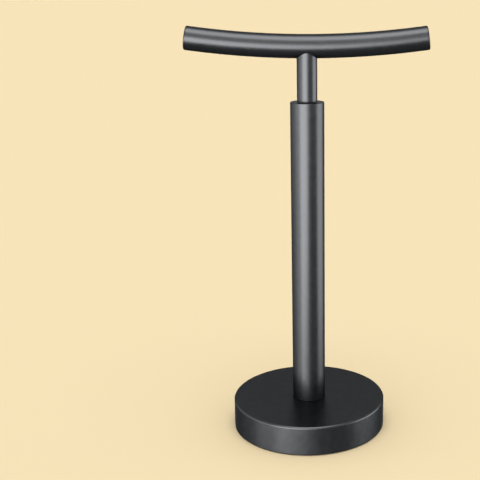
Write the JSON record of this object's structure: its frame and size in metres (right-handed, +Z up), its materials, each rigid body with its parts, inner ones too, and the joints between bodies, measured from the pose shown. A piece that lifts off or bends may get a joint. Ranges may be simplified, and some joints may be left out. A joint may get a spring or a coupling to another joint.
{
  "type": "free-standing towel stand",
  "caption": "Free-standing T-shaped towel stand: an upward-curved round bar on a thin neck, a thicker round post and a heavy round base.",
  "frame": {"origin": "centre of the base's underside, on the surface that the stand rests on", "axes": "+Z up along the post, X along the bar, -Y towards the front"},
  "size_m": [0.259, 0.171, 0.4496],
  "materials": {
    "black_coating": "satin black coating on steel",
    "cast_iron": "as cast, oiled",
    "zinc_steel": "zinc plated",
    "plain_steel": "turned",
    "foam_rubber": "fine-celled, matte",
    "nylon": "moulded, matte"
  },
  "bodies": {
    "stand": {"base_cover": "black_coating", "base_weight": "cast_iron", "base_plate": "zinc_steel", "base_plate_screws": "zinc_steel", "base_pad": "foam_rubber", "base_bolt": "zinc_steel", "base_flat_washer": "zinc_steel", "base_spring_washer": "zinc_steel", "post_gasket": "nylon", "post_tube": "black_coating", "post_foot_plug": "plain_steel", "post_top_plug": "black_coating"},
    "captive_washer": {"neck_washer": "nylon"},
    "t_bar": {"neck_stud": "zinc_steel", "neck_plug": "plain_steel", "neck_tube": "black_coating", "bar_tube": "black_coating", "left_end_cap": "black_coating", "right_end_cap": "black_coating"}
  },
  "joints": [
    {"name": "t_bar_rise", "type": "slide", "parent": "stand", "child": "captive_washer", "axis": [0, 0, 1], "range_m": [0, 0.012]},
    {"name": "t_bar_unscrew", "type": "hinge", "parent": "captive_washer", "child": "t_bar", "pos_m": [0, 0, 0.3699], "axis": [0, 0, 1], "range_deg": [0, 2880]}
  ],
  "couplings": [
    {"joint": "t_bar_rise", "follows": "t_bar_unscrew", "m_per_rad": 0.00023873}
  ]
}
